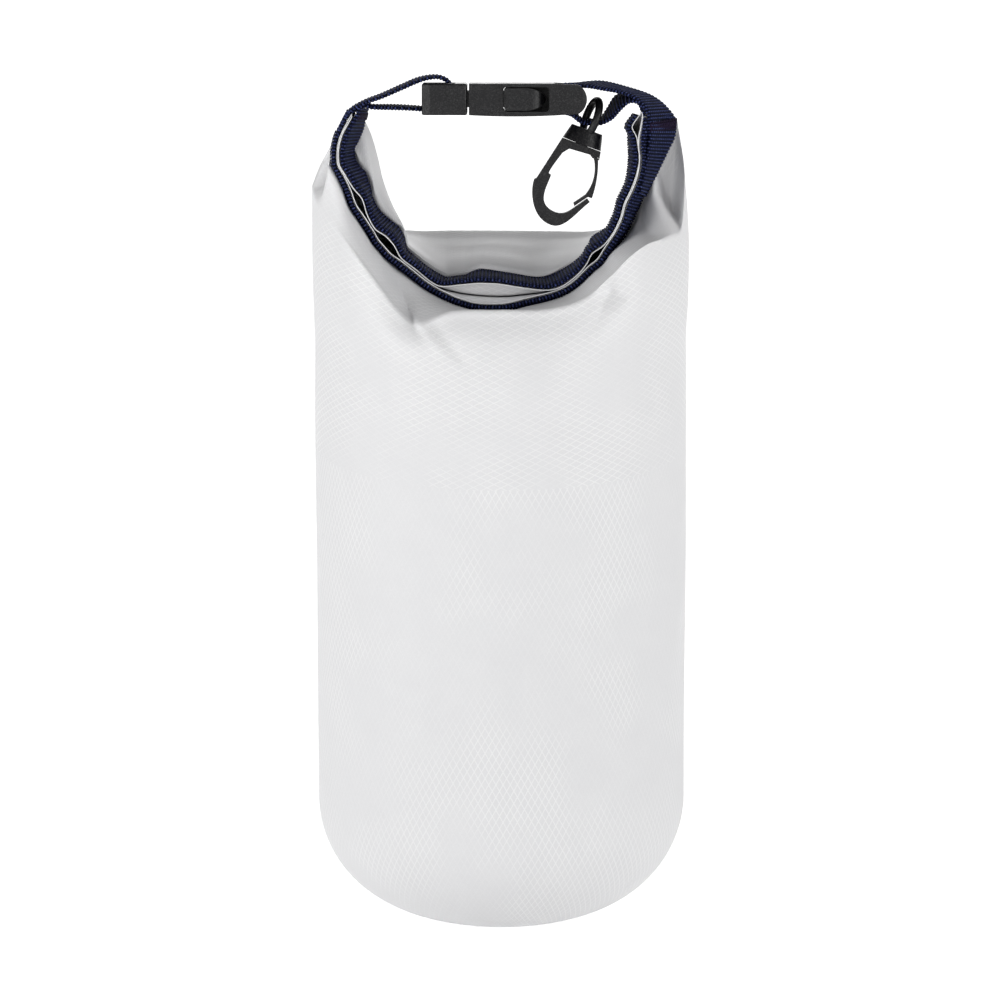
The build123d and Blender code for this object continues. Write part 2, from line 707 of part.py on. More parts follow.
parts = {
    "body_panel": body_panel,
    "collar_panel": collar_panel,
    "base_disc": base_disc,
    "base_seam_tape": base_seam_tape,
    "collar_seam_tape": collar_seam_tape,
    "body_upright_tape": body_upright_tape,
    "collar_upright_tape": collar_upright_tape,
    "mouth_stiffener": mouth_stiffener,
    "mouth_tape_outer": mouth_tape_outer,
    "mouth_tape_inner": mouth_tape_inner,
    "bartack_left": bartack_left,
    "bartack_right": bartack_right,
    "male_loop_strap": male_loop_strap,
    "female_loop_strap": female_loop_strap,
    "buckle_male": buckle_male,
    "buckle_female": buckle_female,
    "prong_front": prong_front,
    "prong_rear": prong_rear,
    "swivel_eye": swivel_eye,
    "hook_body": hook_body,
    "hook_gate": hook_gate,
}
os.makedirs("parts", exist_ok=True)
for label, piece in parts.items():
    piece.part.label = label
    export_step(piece.part, f"parts/{label}.step")
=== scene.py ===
from math import cos, pi, radians, sin

import bpy
import numpy as np
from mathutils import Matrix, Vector


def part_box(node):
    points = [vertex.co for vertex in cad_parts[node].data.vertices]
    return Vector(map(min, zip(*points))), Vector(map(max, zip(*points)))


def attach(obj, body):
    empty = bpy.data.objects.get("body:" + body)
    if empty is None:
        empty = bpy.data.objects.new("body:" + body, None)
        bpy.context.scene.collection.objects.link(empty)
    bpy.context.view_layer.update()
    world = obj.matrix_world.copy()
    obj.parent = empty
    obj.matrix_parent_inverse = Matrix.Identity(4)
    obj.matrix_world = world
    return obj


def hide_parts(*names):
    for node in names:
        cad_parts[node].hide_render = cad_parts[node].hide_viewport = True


# A roll-top dry bag around its CAD frame. Lengths are in millimetres unless a name says
# otherwise; the webbing mouth is drawn in the leaning plane of its U, the fabric in columns.
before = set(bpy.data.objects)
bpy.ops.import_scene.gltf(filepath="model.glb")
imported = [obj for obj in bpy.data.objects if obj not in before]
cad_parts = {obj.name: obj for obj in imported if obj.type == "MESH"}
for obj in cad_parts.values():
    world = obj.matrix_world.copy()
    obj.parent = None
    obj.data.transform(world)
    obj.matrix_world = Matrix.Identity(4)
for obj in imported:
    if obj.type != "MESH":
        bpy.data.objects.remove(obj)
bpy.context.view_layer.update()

# --- sizes, in millimetres, from the frame -------------------------------------------------
MM = 0.001


def box_mm(node):
    """Low and high corner of a CAD node's box."""
    low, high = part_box(node)
    return np.array(low) / MM, np.array(high) / MM


body_low, body_high = box_mm("body_panel")
tape_low, tape_high = box_mm("mouth_tape_outer")
RADIUS = (body_high[0] - body_low[0]) / 2
RING_HEIGHT = body_high[2]
EDGE_RADIUS = 38.0              # rounding of the base
SEAM_ANGLE = 0.6419             # how far up that rounding the base panel's seam runs, in radians
WEBBING = 1.5                   # thickness of the mouth's webbing
STRAP = 1.4                     # thickness of the strap loops, drawn tight
HALF_WEB = 10.0                 # half the webbing's width
RIB = 1.15                      # one rib of the webbing, along it
YARN = 1.5                      # one yarn of the webbing, across it
RELIEF = 0.26                   # how far the ribs stand out
FABRIC = 0.28                   # thickness of the coated cloth
SEALING = 0.25                  # thickness of the tapes behind the seams
STRIP = 0.3                     # thickness of the springy strip in the mouth
SEAM_TAPE = 12.0                # width of the tape behind the ring seams
UPRIGHT_TAPE = 8.5              # width of the tape behind the upright seams
LEAN = radians(10.5)            # the U leans back
ALONG_X = np.array([1.0, 0, 0])
TOWARDS = np.array([0, -cos(LEAN), sin(LEAN)])
UPWARDS = np.array([0, sin(LEAN), cos(LEAN)])
U_CENTRE = np.array([(tape_low[0] + tape_high[0]) / 2, -11.0, 269.04])


def smooth(xs, ys):
    """A smooth curve through a few values (monotone cubic)."""
    xs, ys = np.asarray(xs, float), np.asarray(ys, float)
    d = np.diff(ys) / np.diff(xs)
    m = np.concatenate([[d[0]], (d[1:] + d[:-1]) / 2, [d[-1]]])
    for k in range(1, len(m) - 1):
        if d[k - 1] * d[k] <= 0:
            m[k] = 0

    def at(x):
        x = np.clip(np.asarray(x, float), xs[0], xs[-1])
        i = np.clip(np.searchsorted(xs, x) - 1, 0, len(d) - 1)
        h = xs[i + 1] - xs[i]
        t = (x - xs[i]) / h
        return (
            (2 * t**3 - 3 * t**2 + 1) * ys[i]
            + (t**3 - 2 * t**2 + t) * h * m[i]
            + (-2 * t**3 + 3 * t**2) * ys[i + 1]
            + (t**3 - t**2) * h * m[i + 1]
        )

    return at


def ease(x, low, high):
    """0 below low, 1 above high, and smooth between."""
    t = np.clip((np.asarray(x, float) - low) / (high - low), 0, 1)
    return t * t * (3 - 2 * t)


# --- the curled mouth ----------------------------------------------------------------------
# Three lines in the leaning plane of the U, as (across, up) from its centre: the slit between
# the two layers, the back edge of the inner webbing, and the outline of the outer webbing.
SLIT = [
    (-46, 9.6), (-47.6, 6.7), (-50, 2), (-51, -2.7), (-50.9, -6.9), (-48.9, -10.7), (-46.6, -15),
    (-44.4, -19.2), (-41.2, -25.4), (-38.8, -29.2), (-35.4, -33), (-31.4, -37.6), (-24.5, -43.2),
    (-17, -50), (-8, -52.3), (1, -52.9), (10, -52.4), (18.7, -50.2), (26.5, -45.8), (33.3, -38.8),
    (38.3, -33), (41, -28.8), (42.8, -24.8), (44.2, -19.8), (46.2, -15.7), (48.2, -9.9),
    (48.8, -4.9), (48.4, -1.6), (48.0, 4.6), (49.2, 8.7), (50, 10.7),
]
INNER_BACK = [
    (-41.2, 10.1), (-42, 7.2), (-42.6, 3.9), (-44.6, -0.4), (-45.8, -2.8), (-44.9, -7.1),
    (-41.7, -11.4), (-40.6, -15.2), (-40.2, -18.5), (-37.9, -22.8), (-34.1, -26.2),
    (-31.3, -28.5), (-29.6, -31.9), (-28.9, -35.7), (-26.5, -38.1), (-19, -43.8), (-12.5, -46.8),
    (-7, -43.9), (-3.5, -42.9), (7, -44.4), (16.8, -45.5), (24, -42.5), (29.5, -38.6),
    (32.2, -35), (33.4, -31.8), (36.2, -30.2), (39.5, -27.7), (41.5, -23.5), (43.2, -18),
    (44.9, -11.8), (45.5, -5.5), (45.4, -1.3), (45.2, 2), (44.9, 6.2), (46.7, 8.6),
]
OUTER_LINE = [
    (-46.4, 11.4), (-50.4, 5.0), (-52.6, -1.6), (-53.1, -8), (-50.9, -13.7), (-47.7, -21.4),
    (-43.9, -28.4), (-38, -36.4), (-31, -43.4), (-17, -52.4), (-1, -55.8), (18.3, -53.6),
    (29.6, -47.3), (37.5, -39.6), (44, -32), (48.6, -23), (52, -15.1), (54.9, -7.6),
    (57.6, -3), (60, 1.8), (60.8, 5.6), (60.6, 9.5),
]


def polar(points):
    """Distance from the centre of the U, for an angle in degrees from the right, going up."""
    across, up = np.array(points, float).T
    degrees = np.degrees(np.arctan2(up, across)) % 360
    degrees = np.where(degrees < 100, degrees + 360, degrees)
    order = np.argsort(degrees)
    return smooth(degrees[order], np.hypot(across, up)[order])


slit_at, inner_back_at, outer_line_at = polar(SLIT), polar(INNER_BACK), polar(OUTER_LINE)
LEFT_END, RIGHT_END = 168.5, 371.5          # the mouth's ends, as such angles
# how far the two layers stand apart at the lip
lens = smooth(
    [168, 176, 190, 198, 204, 210, 216, 221, 226, 233, 240, 248, 258, 266, 274, 284, 292, 300,
     308, 312, 317, 326, 345, 362, 366.5, 371.5],
    [0.3, 0.1, 0.1, 0.6, 2.3, 0.8, 0.4, 2.2, 2.4, 0.3, 0.5, 0.3, 4.2, 6.4, 6.0, 2.6, 0.4, 0.3,
     0.7, 2.2, 0.5, 0.1, 0.1, 0.3, 2.6, 0.2],
)


def angle_at(f, depth=0.0):
    """Angle for a fraction of the mouth, from its left end (0) to its right (1), cut aslant."""
    f = np.asarray(f, float)
    slant = 3.0 * (1 - ease(f, 0, 0.12)) - 6.5 * ease(f, 0.86, 1)
    return LEFT_END + (RIGHT_END - LEFT_END) * f + slant * depth / (2 * HALF_WEB)


def around(degrees, radius, depth):
    """Points at an angle and distance from the U's centre, and towards the viewer."""
    a = np.radians(degrees)[..., None]
    flat = np.cos(a) * ALONG_X + np.sin(a) * UPWARDS
    return U_CENTRE + np.asarray(radius)[..., None] * flat + np.asarray(depth)[..., None] * TOWARDS


def lip_radius(degrees, layer):
    """Middle of the front layer (1) or the back layer (-1) at the lip."""
    share = 0.4 if layer > 0 else 0.6
    # at the bottom both lips stand a little above the line on which the layers meet
    lift = 2.2 * ease(degrees, 240, 256) * (1 - ease(degrees, 280, 298))
    return slit_at(degrees) - lift + layer * (lens(degrees) * share + FABRIC / 2)


def turn_of(degrees, layer):
    """How far a webbing's back edge stands out (outer) or in (inner) from its front edge."""
    front = lip_radius(degrees, layer) + layer * (FABRIC / 2 + WEBBING)
    if layer > 0:
        return np.clip(outer_line_at(degrees) - front, 0.4, 14)
    return np.clip(front - inner_back_at(degrees), 0.5, 12)


def beside(degrees, layer, depth, away=0.0):
    """A point of a layer's own surface, at a depth behind the lip, moved off the slit by away."""
    slope = layer * turn_of(degrees, layer) / (2 * HALF_WEB)
    tilt = np.sqrt(1 - slope**2)
    radius = lip_radius(degrees, layer) + slope * depth + layer * away * tilt
    return around(degrees, radius, HALF_WEB - tilt * depth)


# --- the folded fabric -----------------------------------------------------------------------
HALF_COLUMNS = 150              # columns of fabric in the front half, and in the back half
fractions = np.arange(HALF_COLUMNS) / HALF_COLUMNS
# Fold of the front layer, then of the back layer: fraction of the way round, then x, y, z.
FRONT_FOLD = [
    (0, -63.2, -0.5, 251.8), (0.035, -62.4, -6.5, 250.4), (0.08, -60.6, -15, 248.6),
    (0.125, -57.0, -23.5, 246.4), (0.18, -50.2, -34.5, 239), (0.25, -41.0, -44.0, 228.4),
    (0.31, -33, -49.0, 219.6), (0.36, -26.0, -51.6, 217.0), (0.42, -16, -52.0, 220.6),
    (0.5, 0, -52.2, 221.2), (0.58, 16, -51.5, 221.4), (0.65, 28, -50.5, 225),
    (0.70, 36, -48, 231.6), (0.75, 42.5, -44, 237.5), (0.81, 50, -36, 240.5),
    (0.87, 56.5, -26, 240.5), (0.92, 60.2, -17, 242), (0.96, 61.2, -8, 257),
    (1, 58.8, -1.5, 274),
]
BACK_FOLD = [
    (0, -63.2, -0.5, 251.8), (0.04, -60, 4, 259), (0.09, -53.5, 3, 270), (0.14, -48.2, 2, 275.5),
    (0.19, -44.6, 8, 270), (0.23, -42, 17, 259), (0.265, -39.6, 27, 243.5), (0.3, -36.6, 37, 229),
    (0.34, -31.5, 42.5, 226.4), (0.42, -16, 45.4, 225.8), (0.5, 0, 46.4, 225.5),
    (0.6, 18, 45.2, 225.6), (0.68, 31.5, 42.3, 226.3), (0.74, 38.5, 36, 230),
    (0.8, 45.5, 27, 239), (0.86, 53, 16, 252), (0.93, 58.6, 5, 266), (1, 58.8, -1.5, 274),
]


def through(points):
    """A smooth line in space through rows of (fraction, x, y, z)."""
    table = np.array(points, float).T
    lines = [smooth(table[0], values) for values in table[1:]]
    return lambda f: np.stack([line(f) for line in lines], -1)


front_fold, back_fold = through(FRONT_FOLD), through(BACK_FOLD)
LOW_RING, HIGH_RING = 180, 196  # heights from which a column leaves the round tube
KNEE = 0.62                     # share of the way from the tube to the fold, where it bulges
STAND_OFF = WEBBING + 1.2       # from a layer's middle to fabric that is tucked under its webbing
HEM_END = 19                    # depth behind the lip at which tucked fabric ends
HEM_CUT = 21                    # depth at which the mouth's slanting ends are taken there
VALLEY = [1.5, 9.0, -7.0]       # how far the fabric sinks between right fold and webbing
GUSSET = [7.0, 6.0, -6.0]       # how far the small gusset at the left end sinks


def column_points(f, layer):
    """Control points of each column from the ring seam to behind the webbing."""
    theta = pi + pi * f if layer > 0 else pi - pi * f
    c, s = np.cos(theta), np.sin(theta)

    def ring(z, r):
        return np.stack([r * c, r * s, np.full_like(c, z)], -1)

    degrees = angle_at(f)
    fold = (front_fold if layer > 0 else back_fold)(f)
    low, high = ring(LOW_RING, RADIUS), ring(HIGH_RING, RADIUS - 0.2)
    # the filled tube bulges below the fold, less so at its two sides
    knee = high + KNEE * (fold - high)
    left, right = np.clip(-c, 0, 1) ** 4, np.clip(c, 0, 1) ** 4
    knee[:, :2] *= (1.035 - 0.03 * left - 0.016 * right)[:, None]
    # how close to the fold a column turns: the smaller, the sharper
    crisp = 0.22 - 0.14 * np.maximum(1 - ease(f, 0.16, 0.34), ease(f, 0.62, 0.72))
    before = fold - crisp[:, None] * (fold - knee)
    if layer > 0:
        # under the webbing where that hides it, else straight to behind its back edge
        shown = ease(turn_of(degrees, 1), 2.0, 7.0) * ease(f, 0.5, 0.85)
        free = np.maximum(shown, 1 - ease(f, 0.0, 0.10))
        near = beside(degrees, 1, np.full_like(f, 1.5), WEBBING + 1.3)
        far = beside(angle_at(f, HEM_CUT), 1, HEM_END + 3.0 * free, STAND_OFF * (1 - free))
        near = near + (0.5 * (fold + far) - near) * free[:, None]
        valley = ease(f, 0.72, 0.84) * (1 - ease(f, 0.92, 1))
        gusset = ease(f, 0.0, 0.03) * (1 - ease(f, 0.055, 0.095))
        near += valley[:, None] * VALLEY + gusset[:, None] * GUSSET
        after = fold + crisp[:, None] * (near - fold)
        return [ring(RING_HEIGHT, RADIUS), low, high, knee, before, fold, after, near, far]
    free = np.maximum(1 - ease(f, 0.0, 0.1), ease(f, 0.6, 0.74))
    away = STAND_OFF * (1 - free) - 0.8 * free
    far = beside(angle_at(f, HEM_CUT), -1, HEM_END + 3.5 * free, away)
    ends = np.maximum(1 - ease(f, 0.0, 0.1), ease(f, 0.9, 1.0))
    after = fold + 0.2 * (far - fold)
    middle = 0.5 * (fold + far)
    middle[:, 2] += 1.0 * (1 - ends)
    return [ring(RING_HEIGHT, RADIUS), low, high, knee, before, fold, after, middle, far]


SPAN = 24                       # steps between two control points, before they are evened out


def spline(points, steps, corner=None):
    """Centripetal Catmull-Rom through the points, in equal steps; a corner point keeps its row."""
    p = np.stack(points)
    p = np.concatenate([2 * p[:1] - p[1:2], p, 2 * p[-1:] - p[-2:-1]])
    d = np.maximum(np.linalg.norm(np.diff(p, axis=0), axis=-1), 1e-3) ** 0.5
    t = np.concatenate([np.zeros((1, p.shape[1])), np.cumsum(d, 0)])
    out = []
    for k in range(1, len(p) - 2):
        t0, t1, t2, t3 = (t[k + j][:, None] for j in (-1, 0, 1, 2))
        p0, p1, p2, p3 = (p[k + j] for j in (-1, 0, 1, 2))
        last = k == len(p) - 3
        for x in np.linspace(0, 1, SPAN + 1)[: None if last else -1]:
            u = t1 + x * (t2 - t1)
            a1 = (t1 - u) / (t1 - t0) * p0 + (u - t0) / (t1 - t0) * p1
            a2 = (t2 - u) / (t2 - t1) * p1 + (u - t1) / (t2 - t1) * p2
            a3 = (t3 - u) / (t3 - t2) * p2 + (u - t2) / (t3 - t2) * p3
            b1 = (t2 - u) / (t2 - t0) * a1 + (u - t0) / (t2 - t0) * a2
            b2 = (t3 - u) / (t3 - t1) * a2 + (u - t1) / (t3 - t1) * a3
            out.append((t2 - u) / (t2 - t1) * b1 + (u - t1) / (t2 - t1) * b2)
    path = np.stack(out)
    if corner is None:
        return resample(path, steps)
    lower = resample(path[:SPAN * corner + 1], steps[0])
    upper = resample(path[SPAN * corner:], steps[1])
    return np.concatenate([lower, upper[1:]])


def resample(path, steps):
    """Points at equal steps of length along each column of a path."""
    parts = np.linalg.norm(np.diff(path, axis=0), axis=-1)
    length = np.concatenate([np.zeros((1, path.shape[1])), np.cumsum(parts, 0)])
    result = np.empty((steps, path.shape[1], 3))
    for n in range(path.shape[1]):
        want = np.linspace(0, length[-1, n], steps)
        for axis in range(3):
            result[:, n, axis] = np.interp(want, length[:, n], path[:, n, axis])
    return result


TURN_ROWS = (72, 50)            # rows below and above the fold
FOLD_POINT = 5                  # which of a column's control points is the fold
# rows of the hem, as depths behind the lip, closer together near it
HEM_DEPTHS = np.array([22.5, 20, 17, 14, 11.5, 9.5, 7.5, 6, 4.6, 3.4, 2.3, 1.3, 0.5, 0.0])


TOUCH = 0.75                    # distance of the two layers' middles where they cling


def hem_rows(f, layer):
    """The straight part behind the lip; the two layers cling together a little way in."""
    rows = []
    for depth in HEM_DEPTHS:
        degrees = angle_at(f, depth)
        d = np.full_like(f, depth)
        own, other = beside(degrees, layer, d), beside(degrees, -layer, d)
        apart = other - own
        gap = np.linalg.norm(apart, axis=-1)
        cling = ease(depth, 0.0, 6.5) * (1 - ease(depth, 13, 22))
        cling = cling * ease(-abs(degrees - 268), -32, -20)
        share = 0.3 if layer > 0 else 0.7
        move = np.maximum(gap - TOUCH, 0) * cling * share
        rows.append(own + apart / np.maximum(gap, 1e-6)[:, None] * move[:, None])
    return np.stack(rows)


def collar_rows():
    """Rows of points from the ring seam over the fold to the lip, front half then back half."""
    halves = []
    for f, layer in ((fractions, 1), (1 - fractions, -1)):
        points = column_points(f, layer)
        hem = hem_rows(f, layer)
        turn = spline(points + [hem[0]], TURN_ROWS, corner=FOLD_POINT)
        halves.append(np.concatenate([turn, hem[1:]]))
    return np.concatenate(halves, axis=1)


# --- meshes --------------------------------------------------------------------------------
def link_mesh(name, points, faces, mat):
    """A smooth-shaded mesh from points in millimetres, on the bag's body."""
    me = bpy.data.meshes.new(name)
    me.from_pydata((np.asarray(points).reshape(-1, 3) * MM).tolist(), [], faces)
    me.polygons.foreach_set("use_smooth", np.ones(len(me.polygons), bool))
    ob = bpy.data.objects.new(name, me)
    bpy.context.scene.collection.objects.link(ob)
    me.materials.append(mat)
    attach(ob, "bag")
    return ob


def grid_faces(count, columns, closed):
    """Four-sided faces over rows of points; closed joins the last column to the first."""
    i = np.arange(count - 1)[:, None] * columns
    j = np.arange(columns if closed else columns - 1)[None]
    k = (j + 1) % columns
    return np.stack([i + j, i + k, i + columns + k, i + columns + j], -1).reshape(-1, 4).tolist()


def cloth(name, rows, across, along, thickness, mat, closed=True):
    """A sheet from rows of points; across and along are its flat measures, for the pattern."""
    count, columns = rows.shape[:2]
    ob = link_mesh(name, rows, grid_faces(count, columns, closed), mat)
    me = ob.data
    layer = me.uv_layers.new(name="sheet")
    loops = np.empty(len(me.loops), np.int64)
    me.loops.foreach_get("vertex_index", loops)
    u, v = across.reshape(-1)[loops], along.reshape(-1)[loops]
    if closed:
        quads = u.reshape(-1, 4)
        whole = columns * (across[0, 1] - across[0, 0])
        wrapped = (np.ptp(quads, axis=1) > whole / 2)[:, None] & (quads < whole / 2)
        u = np.where(wrapped, quads + whole, quads).reshape(-1)
    layer.data.foreach_set("uv", np.stack([u, v], -1).reshape(-1).astype(np.float32))
    solid = ob.modifiers.new("thickness", "SOLIDIFY")
    solid.thickness = thickness * MM
    solid.offset = 0
    # the cut rim keeps its own shading, or it would darken the faces beside it
    rim = ob.modifiers.new("rim", "EDGE_SPLIT")
    rim.split_angle = radians(60)
    return ob


# --- materials -----------------------------------------------------------------------------
def material(name, base, rough):
    m = bpy.data.materials.new(name)
    m.use_nodes = True
    nodes, links = m.node_tree.nodes, m.node_tree.links
    shader = nodes["Principled BSDF"]
    shader.inputs["Base Color"].default_value = (*base, 1)
    shader.inputs["Roughness"].default_value = rough
    return m, nodes, links, shader


class Build:
    """Short calls for shader nodes."""

    def __init__(self, nodes, links):
        self.nodes, self.links = nodes, links

    def put(self, socket, value):
        """Set a socket to a constant, or link it."""
        if isinstance(value, (int, float, tuple)):
            socket.default_value = value
        else:
            self.links.new(value, socket)

    def math(self, kind, a, b=0.0):
        n = self.nodes.new("ShaderNodeMath")
        n.operation = kind
        self.put(n.inputs[0], a)
        self.put(n.inputs[1], b)
        return n.outputs[0]

    def uv(self):
        n = self.nodes.new("ShaderNodeUVMap")
        n.uv_map = "sheet"
        s = self.nodes.new("ShaderNodeSeparateXYZ")
        self.links.new(n.outputs[0], s.inputs[0])
        return s.outputs[0], s.outputs[1]

    def place(self):
        return self.nodes.new("ShaderNodeNewGeometry").outputs["Position"]

    def noise(self, vector, scale, detail=2.0, rough=0.5):
        n = self.nodes.new("ShaderNodeTexNoise")
        self.put(n.inputs["Vector"], vector)
        n.inputs["Scale"].default_value = scale
        n.inputs["Detail"].default_value = detail
        n.inputs["Roughness"].default_value = rough
        return n.outputs["Fac"]

    def ramp(self, value, low, high, to_low=0.0, to_high=1.0):
        n = self.nodes.new("ShaderNodeMapRange")
        n.clamp = True
        n.interpolation_type = "SMOOTHSTEP"
        self.put(n.inputs["Value"], value)
        n.inputs["From Min"].default_value = low
        n.inputs["From Max"].default_value = high
        n.inputs["To Min"].default_value = to_low
        n.inputs["To Max"].default_value = to_high
        return n.outputs["Result"]

    def mix(self, factor, a, b):
        n = self.nodes.new("ShaderNodeMix")
        n.data_type = "RGBA"
        self.put(n.inputs[0], factor)
        self.put(n.inputs[6], a)              # 6 and 7 are the two colours, 2 their mix
        self.put(n.inputs[7], b)
        return n.outputs[2]

    def bump(self, height, distance, strength=1.0, normal=None):
        n = self.nodes.new("ShaderNodeBump")
        n.inputs["Distance"].default_value = distance
        n.inputs["Strength"].default_value = strength
        self.links.new(height, n.inputs["Height"])
        if normal is not None:
            self.links.new(normal, n.inputs["Normal"])
        return n.outputs[0]


def diamond(b, across, along, wide, tall):
    """Lines of a diamond ripstop: 1 on a line, 0 between."""
    x = b.math("DIVIDE", across, wide)
    y = b.math("DIVIDE", along, tall)
    lines = []
    for kind in ("ADD", "SUBTRACT"):
        s = b.math("FRACT", b.math(kind, x, y))
        d = b.math("ABSOLUTE", b.math("SUBTRACT", s, 0.5))
        lines.append(b.ramp(d, 0.38, 0.47))
    return b.math("MAXIMUM", *lines)


def fabric_material(name, wide, tall, strength, patchy):
    """Coated ripstop; wide and tall are one diamond's sides in millimetres."""
    m, nodes, links, shader = material(name, (0.79, 0.79, 0.80), 0.5)
    b = Build(nodes, links)
    across, along = b.uv()
    place = b.place()
    lines = diamond(b, across, along, wide, tall)
    patch = b.ramp(b.noise(place, patchy, 2.0), 0.40, 0.62, 0.15, 1.0)
    lines = b.math("MULTIPLY", lines, patch)
    cloudy = b.noise(place, 70.0, 4.0, 0.6)
    grain = b.noise(place, 1700.0, 2.0)
    tint = b.mix(b.ramp(cloudy, 0.3, 0.7), (0.765, 0.765, 0.775, 1), (0.785, 0.785, 0.793, 1))
    tint = b.mix(b.ramp(grain, 0.35, 0.65, 0.0, 0.35), tint, (0.74, 0.74, 0.75, 1))
    tint = b.mix(b.math("MULTIPLY", lines, strength), tint, (0.97, 0.97, 0.97, 1))
    links.new(tint, shader.inputs["Base Color"])
    rough = b.ramp(cloudy, 0.2, 0.8, 0.42, 0.55)
    rough = b.math("SUBTRACT", rough, b.math("MULTIPLY", lines, 0.16))
    links.new(rough, shader.inputs["Roughness"])
    normal = b.bump(grain, 0.00004, 0.6)
    normal = b.bump(lines, 0.00006, 0.7, normal)
    links.new(normal, shader.inputs["Normal"])
    return m


# Woven webbing in three colours: the darkest is painted shade in the grooves between ribs and
# yarns, and also random flecks; the lightest is a painted highlight on the rib tops.
def webbing_material(name, groove_shade_and_fleck, mid, painted_highlight):
    m, nodes, links, shader = material(name, mid, 0.75)
    shader.inputs["Specular IOR Level"].default_value = 0.06
    b = Build(nodes, links)
    across, along = b.uv()
    place = b.place()
    phase = b.math("DIVIDE", along, RIB)
    odd = b.math("MODULO", b.math("FLOOR", b.math("ADD", phase, 0.25)), 2.0)
    rib = b.math("SINE", b.math("MULTIPLY", phase, 2 * pi))
    column = b.math("ADD", b.math("DIVIDE", across, YARN), b.math("MULTIPLY", odd, 0.5))
    wale = b.math("ABSOLUTE", b.math("SINE", b.math("MULTIPLY", column, pi)))
    cell = b.math("MULTIPLY", b.ramp(rib, -0.6, 0.7, 0.0, 1.0), b.ramp(wale, 0.15, 0.9, 0.0, 1.0))
    fibre = b.noise(place, 2400.0, 3.0, 0.7)
    fleck = b.noise(place, 520.0, 2.0)
    # painted shade: the grooves between ribs and yarns take the darkest colour
    colour = b.mix(cell, (*groove_shade_and_fleck, 1), (*mid, 1))
    # painted highlight: rib tops take the lightest colour where the fibre noise is high
    colour = b.mix(b.math("MULTIPLY", b.ramp(fibre, 0.50, 0.75), cell), colour, (*painted_highlight, 1))
    # random dark flecks in the yarn
    colour = b.mix(b.ramp(fleck, 0.42, 0.7, 0.0, 0.4), colour, (*groove_shade_and_fleck, 1))
    links.new(colour, shader.inputs["Base Color"])
    height = b.math("ADD", cell, b.math("MULTIPLY", fibre, 0.45))
    links.new(b.bump(height, 0.00035, 0.9), shader.inputs["Normal"])
    return m


def plastic_material():
    m, nodes, links, shader = material("sparked_plastic", (0.010, 0.010, 0.011), 0.45)
    shader.inputs["Specular IOR Level"].default_value = 0.27
    b = Build(nodes, links)
    place = b.place()
    spark = b.noise(place, 2200.0, 2.0, 0.6)
    wide = b.noise(place, 300.0, 3.0, 0.6)
    tint = b.ramp(spark, 0.46, 0.72)
    colour = b.mix(tint, (0.003, 0.003, 0.004, 1), (0.026, 0.026, 0.027, 1))
    links.new(colour, shader.inputs["Base Color"])
    links.new(b.ramp(wide, 0.3, 0.7, 0.26, 0.44), shader.inputs["Roughness"])
    height = b.math("ADD", spark, b.math("MULTIPLY", wide, 0.6))
    links.new(b.bump(height, 0.00016, 0.8), shader.inputs["Normal"])
    return m


collar_fabric = fabric_material("ripstop_collar", 4.6, 2.3, 0.42, 30.0)
body_fabric = fabric_material("ripstop_body", 2.4, 4.4, 0.42, 26.0)
seam_film, *_ = material("sealing_tape", (0.74, 0.74, 0.74), 0.35)
spring_strip, *_ = material("stiffening_strip", (0.72, 0.72, 0.70), 0.4)
# navy colours: the darkest is painted shade in the weave's grooves and random flecks, the lightest
# a painted highlight on its ribs
navy = webbing_material(
    "navy_webbing", (0.003, 0.004, 0.012), (0.042, 0.055, 0.165), (0.150, 0.185, 0.380)
)
# the bartack thread's colours carry the same painted shade and painted highlight
tack_thread = webbing_material(
    "bartack_thread", (0.010, 0.006, 0.018), (0.030, 0.018, 0.050), (0.075, 0.055, 0.12)
)
plastic = plastic_material()

# --- the fabric tube -------------------------------------------------------------------------
# Columns start at the left side and go round the front; rows start at the base's middle.
theta = np.concatenate([pi + pi * fractions, 2 * pi + pi * fractions])
COLUMNS = len(theta)
FLAT_RADIUS = RADIUS - EDGE_RADIUS
FLAT_ROWS, EDGE_ROWS, WALL_ROWS = 8, (18, 26), 70
rings = [(FLAT_RADIUS * k / FLAT_ROWS + 0.01, 0.0) for k in range(FLAT_ROWS)]
turns = np.linspace(0, SEAM_ANGLE, EDGE_ROWS[0])
turns = np.concatenate([turns, np.linspace(SEAM_ANGLE, pi / 2, EDGE_ROWS[1])[1:]])
seam_row = len(rings) + EDGE_ROWS[0] - 1
rings += [(FLAT_RADIUS + EDGE_RADIUS * sin(a), EDGE_RADIUS - EDGE_RADIUS * cos(a)) for a in turns]
rings += [(RADIUS, h) for h in np.linspace(EDGE_RADIUS, RING_HEIGHT, WALL_ROWS)[1:]]
ring_row = len(rings) - 1
tube = np.stack(
    [np.stack([r * np.cos(theta), r * np.sin(theta), np.full(COLUMNS, z)], -1) for r, z in rings]
)
rows = np.concatenate([tube, collar_rows()[1:]])


FRONT_Y = -15                   # creases stay in front of this


def along_line(points, start, end):
    """Distance across a line in the x-z plane, and share of the way along it."""
    way = np.array([end[0] - start[0], end[1] - start[1]], float)
    length = np.hypot(*way)
    way /= length
    x, z = points[..., 0] - start[0], points[..., 2] - start[1]
    return x * way[1] - z * way[0], (x * way[0] + z * way[1]) / length


def crease(points, start, end, width, depth):
    """How far a sharp crease in front moves points against an axis; it fades at both ends."""
    across, share = along_line(points, start, end)
    fade = ease(share, -0.12, 0.25) * (1 - ease(share, 0.55, 1.15))
    front = points[..., 1] < FRONT_Y
    return -depth * np.exp(-np.abs(across) / width) * fade * front


def dimple(points, centre, width, depth):
    """How far a round dent moves the points around its centre."""
    d = np.linalg.norm(points - np.array(centre), axis=-1)
    return depth * np.exp(-((d / width) ** 2))


